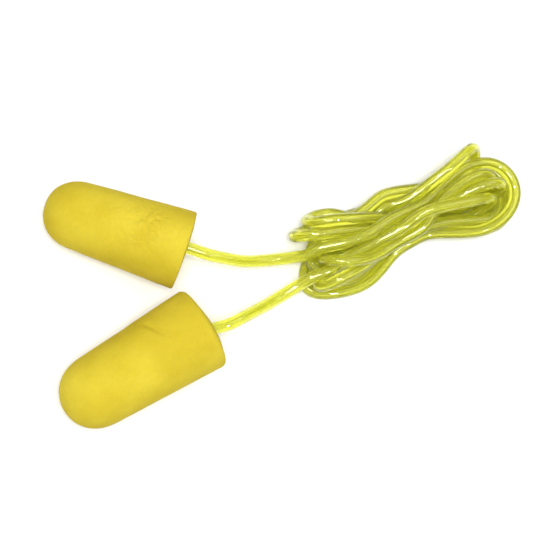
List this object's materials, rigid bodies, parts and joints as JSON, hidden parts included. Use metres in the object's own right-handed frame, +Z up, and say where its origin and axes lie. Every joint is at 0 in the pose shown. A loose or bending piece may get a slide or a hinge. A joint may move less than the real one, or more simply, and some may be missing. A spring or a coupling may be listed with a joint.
{
  "type": "corded foam ear plugs",
  "caption": "Two tapered round-nosed foam ear plugs joined by a clear cord, which is gathered into a waisted hank.",
  "frame": {"origin": "bottom centre of the box around the two plugs, on the surface that they lie on", "axes": "+Z up from that surface; +X from the plugs towards the hank of cord; +Y from the lower plug towards the upper plug"},
  "size_m": [0.0773, 0.0479, 0.0134],
  "materials": {
    "foam": "matte",
    "clear_cord": "gloss",
    "glue": "satin"
  },
  "bodies": {
    "hank": {"cord_hank": "clear_cord"},
    "upper_cord": {"upper_lead": "clear_cord"},
    "lower_cord": {"lower_lead": "clear_cord"},
    "upper_ear_plug": {"upper_plug": "foam", "upper_glue": "glue", "upper_cord_end": "clear_cord"},
    "lower_ear_plug": {"lower_plug": "foam", "lower_glue": "glue", "lower_cord_end": "clear_cord"}
  },
  "joints": [
    {"name": "upper_swing", "type": "hinge", "parent": "hank", "child": "upper_cord", "pos_m": [0.0173, 0.0079, 0.0043], "axis": [0, 0, -1], "range_deg": [0, 40], "deforming": ["upper_lead"]},
    {"name": "lower_swing", "type": "hinge", "parent": "hank", "child": "lower_cord", "pos_m": [0.0191, -0.0001, 0.0051], "axis": [0, 0, 1], "range_deg": [0, 40], "deforming": ["lower_lead"]},
    {"name": "upper_twist", "type": "hinge", "parent": "upper_cord", "child": "upper_ear_plug", "pos_m": [0.00797, 0.00937, 0.00626], "axis": [0.9548, -0.2919, 0.0561], "range_deg": [-180, 180]},
    {"name": "lower_twist", "type": "hinge", "parent": "lower_cord", "child": "lower_ear_plug", "pos_m": [0.0114, -0.00374, 0.00668], "axis": [0.8468, 0.5291, 0.0539], "range_deg": [-180, 180]}
  ]
}
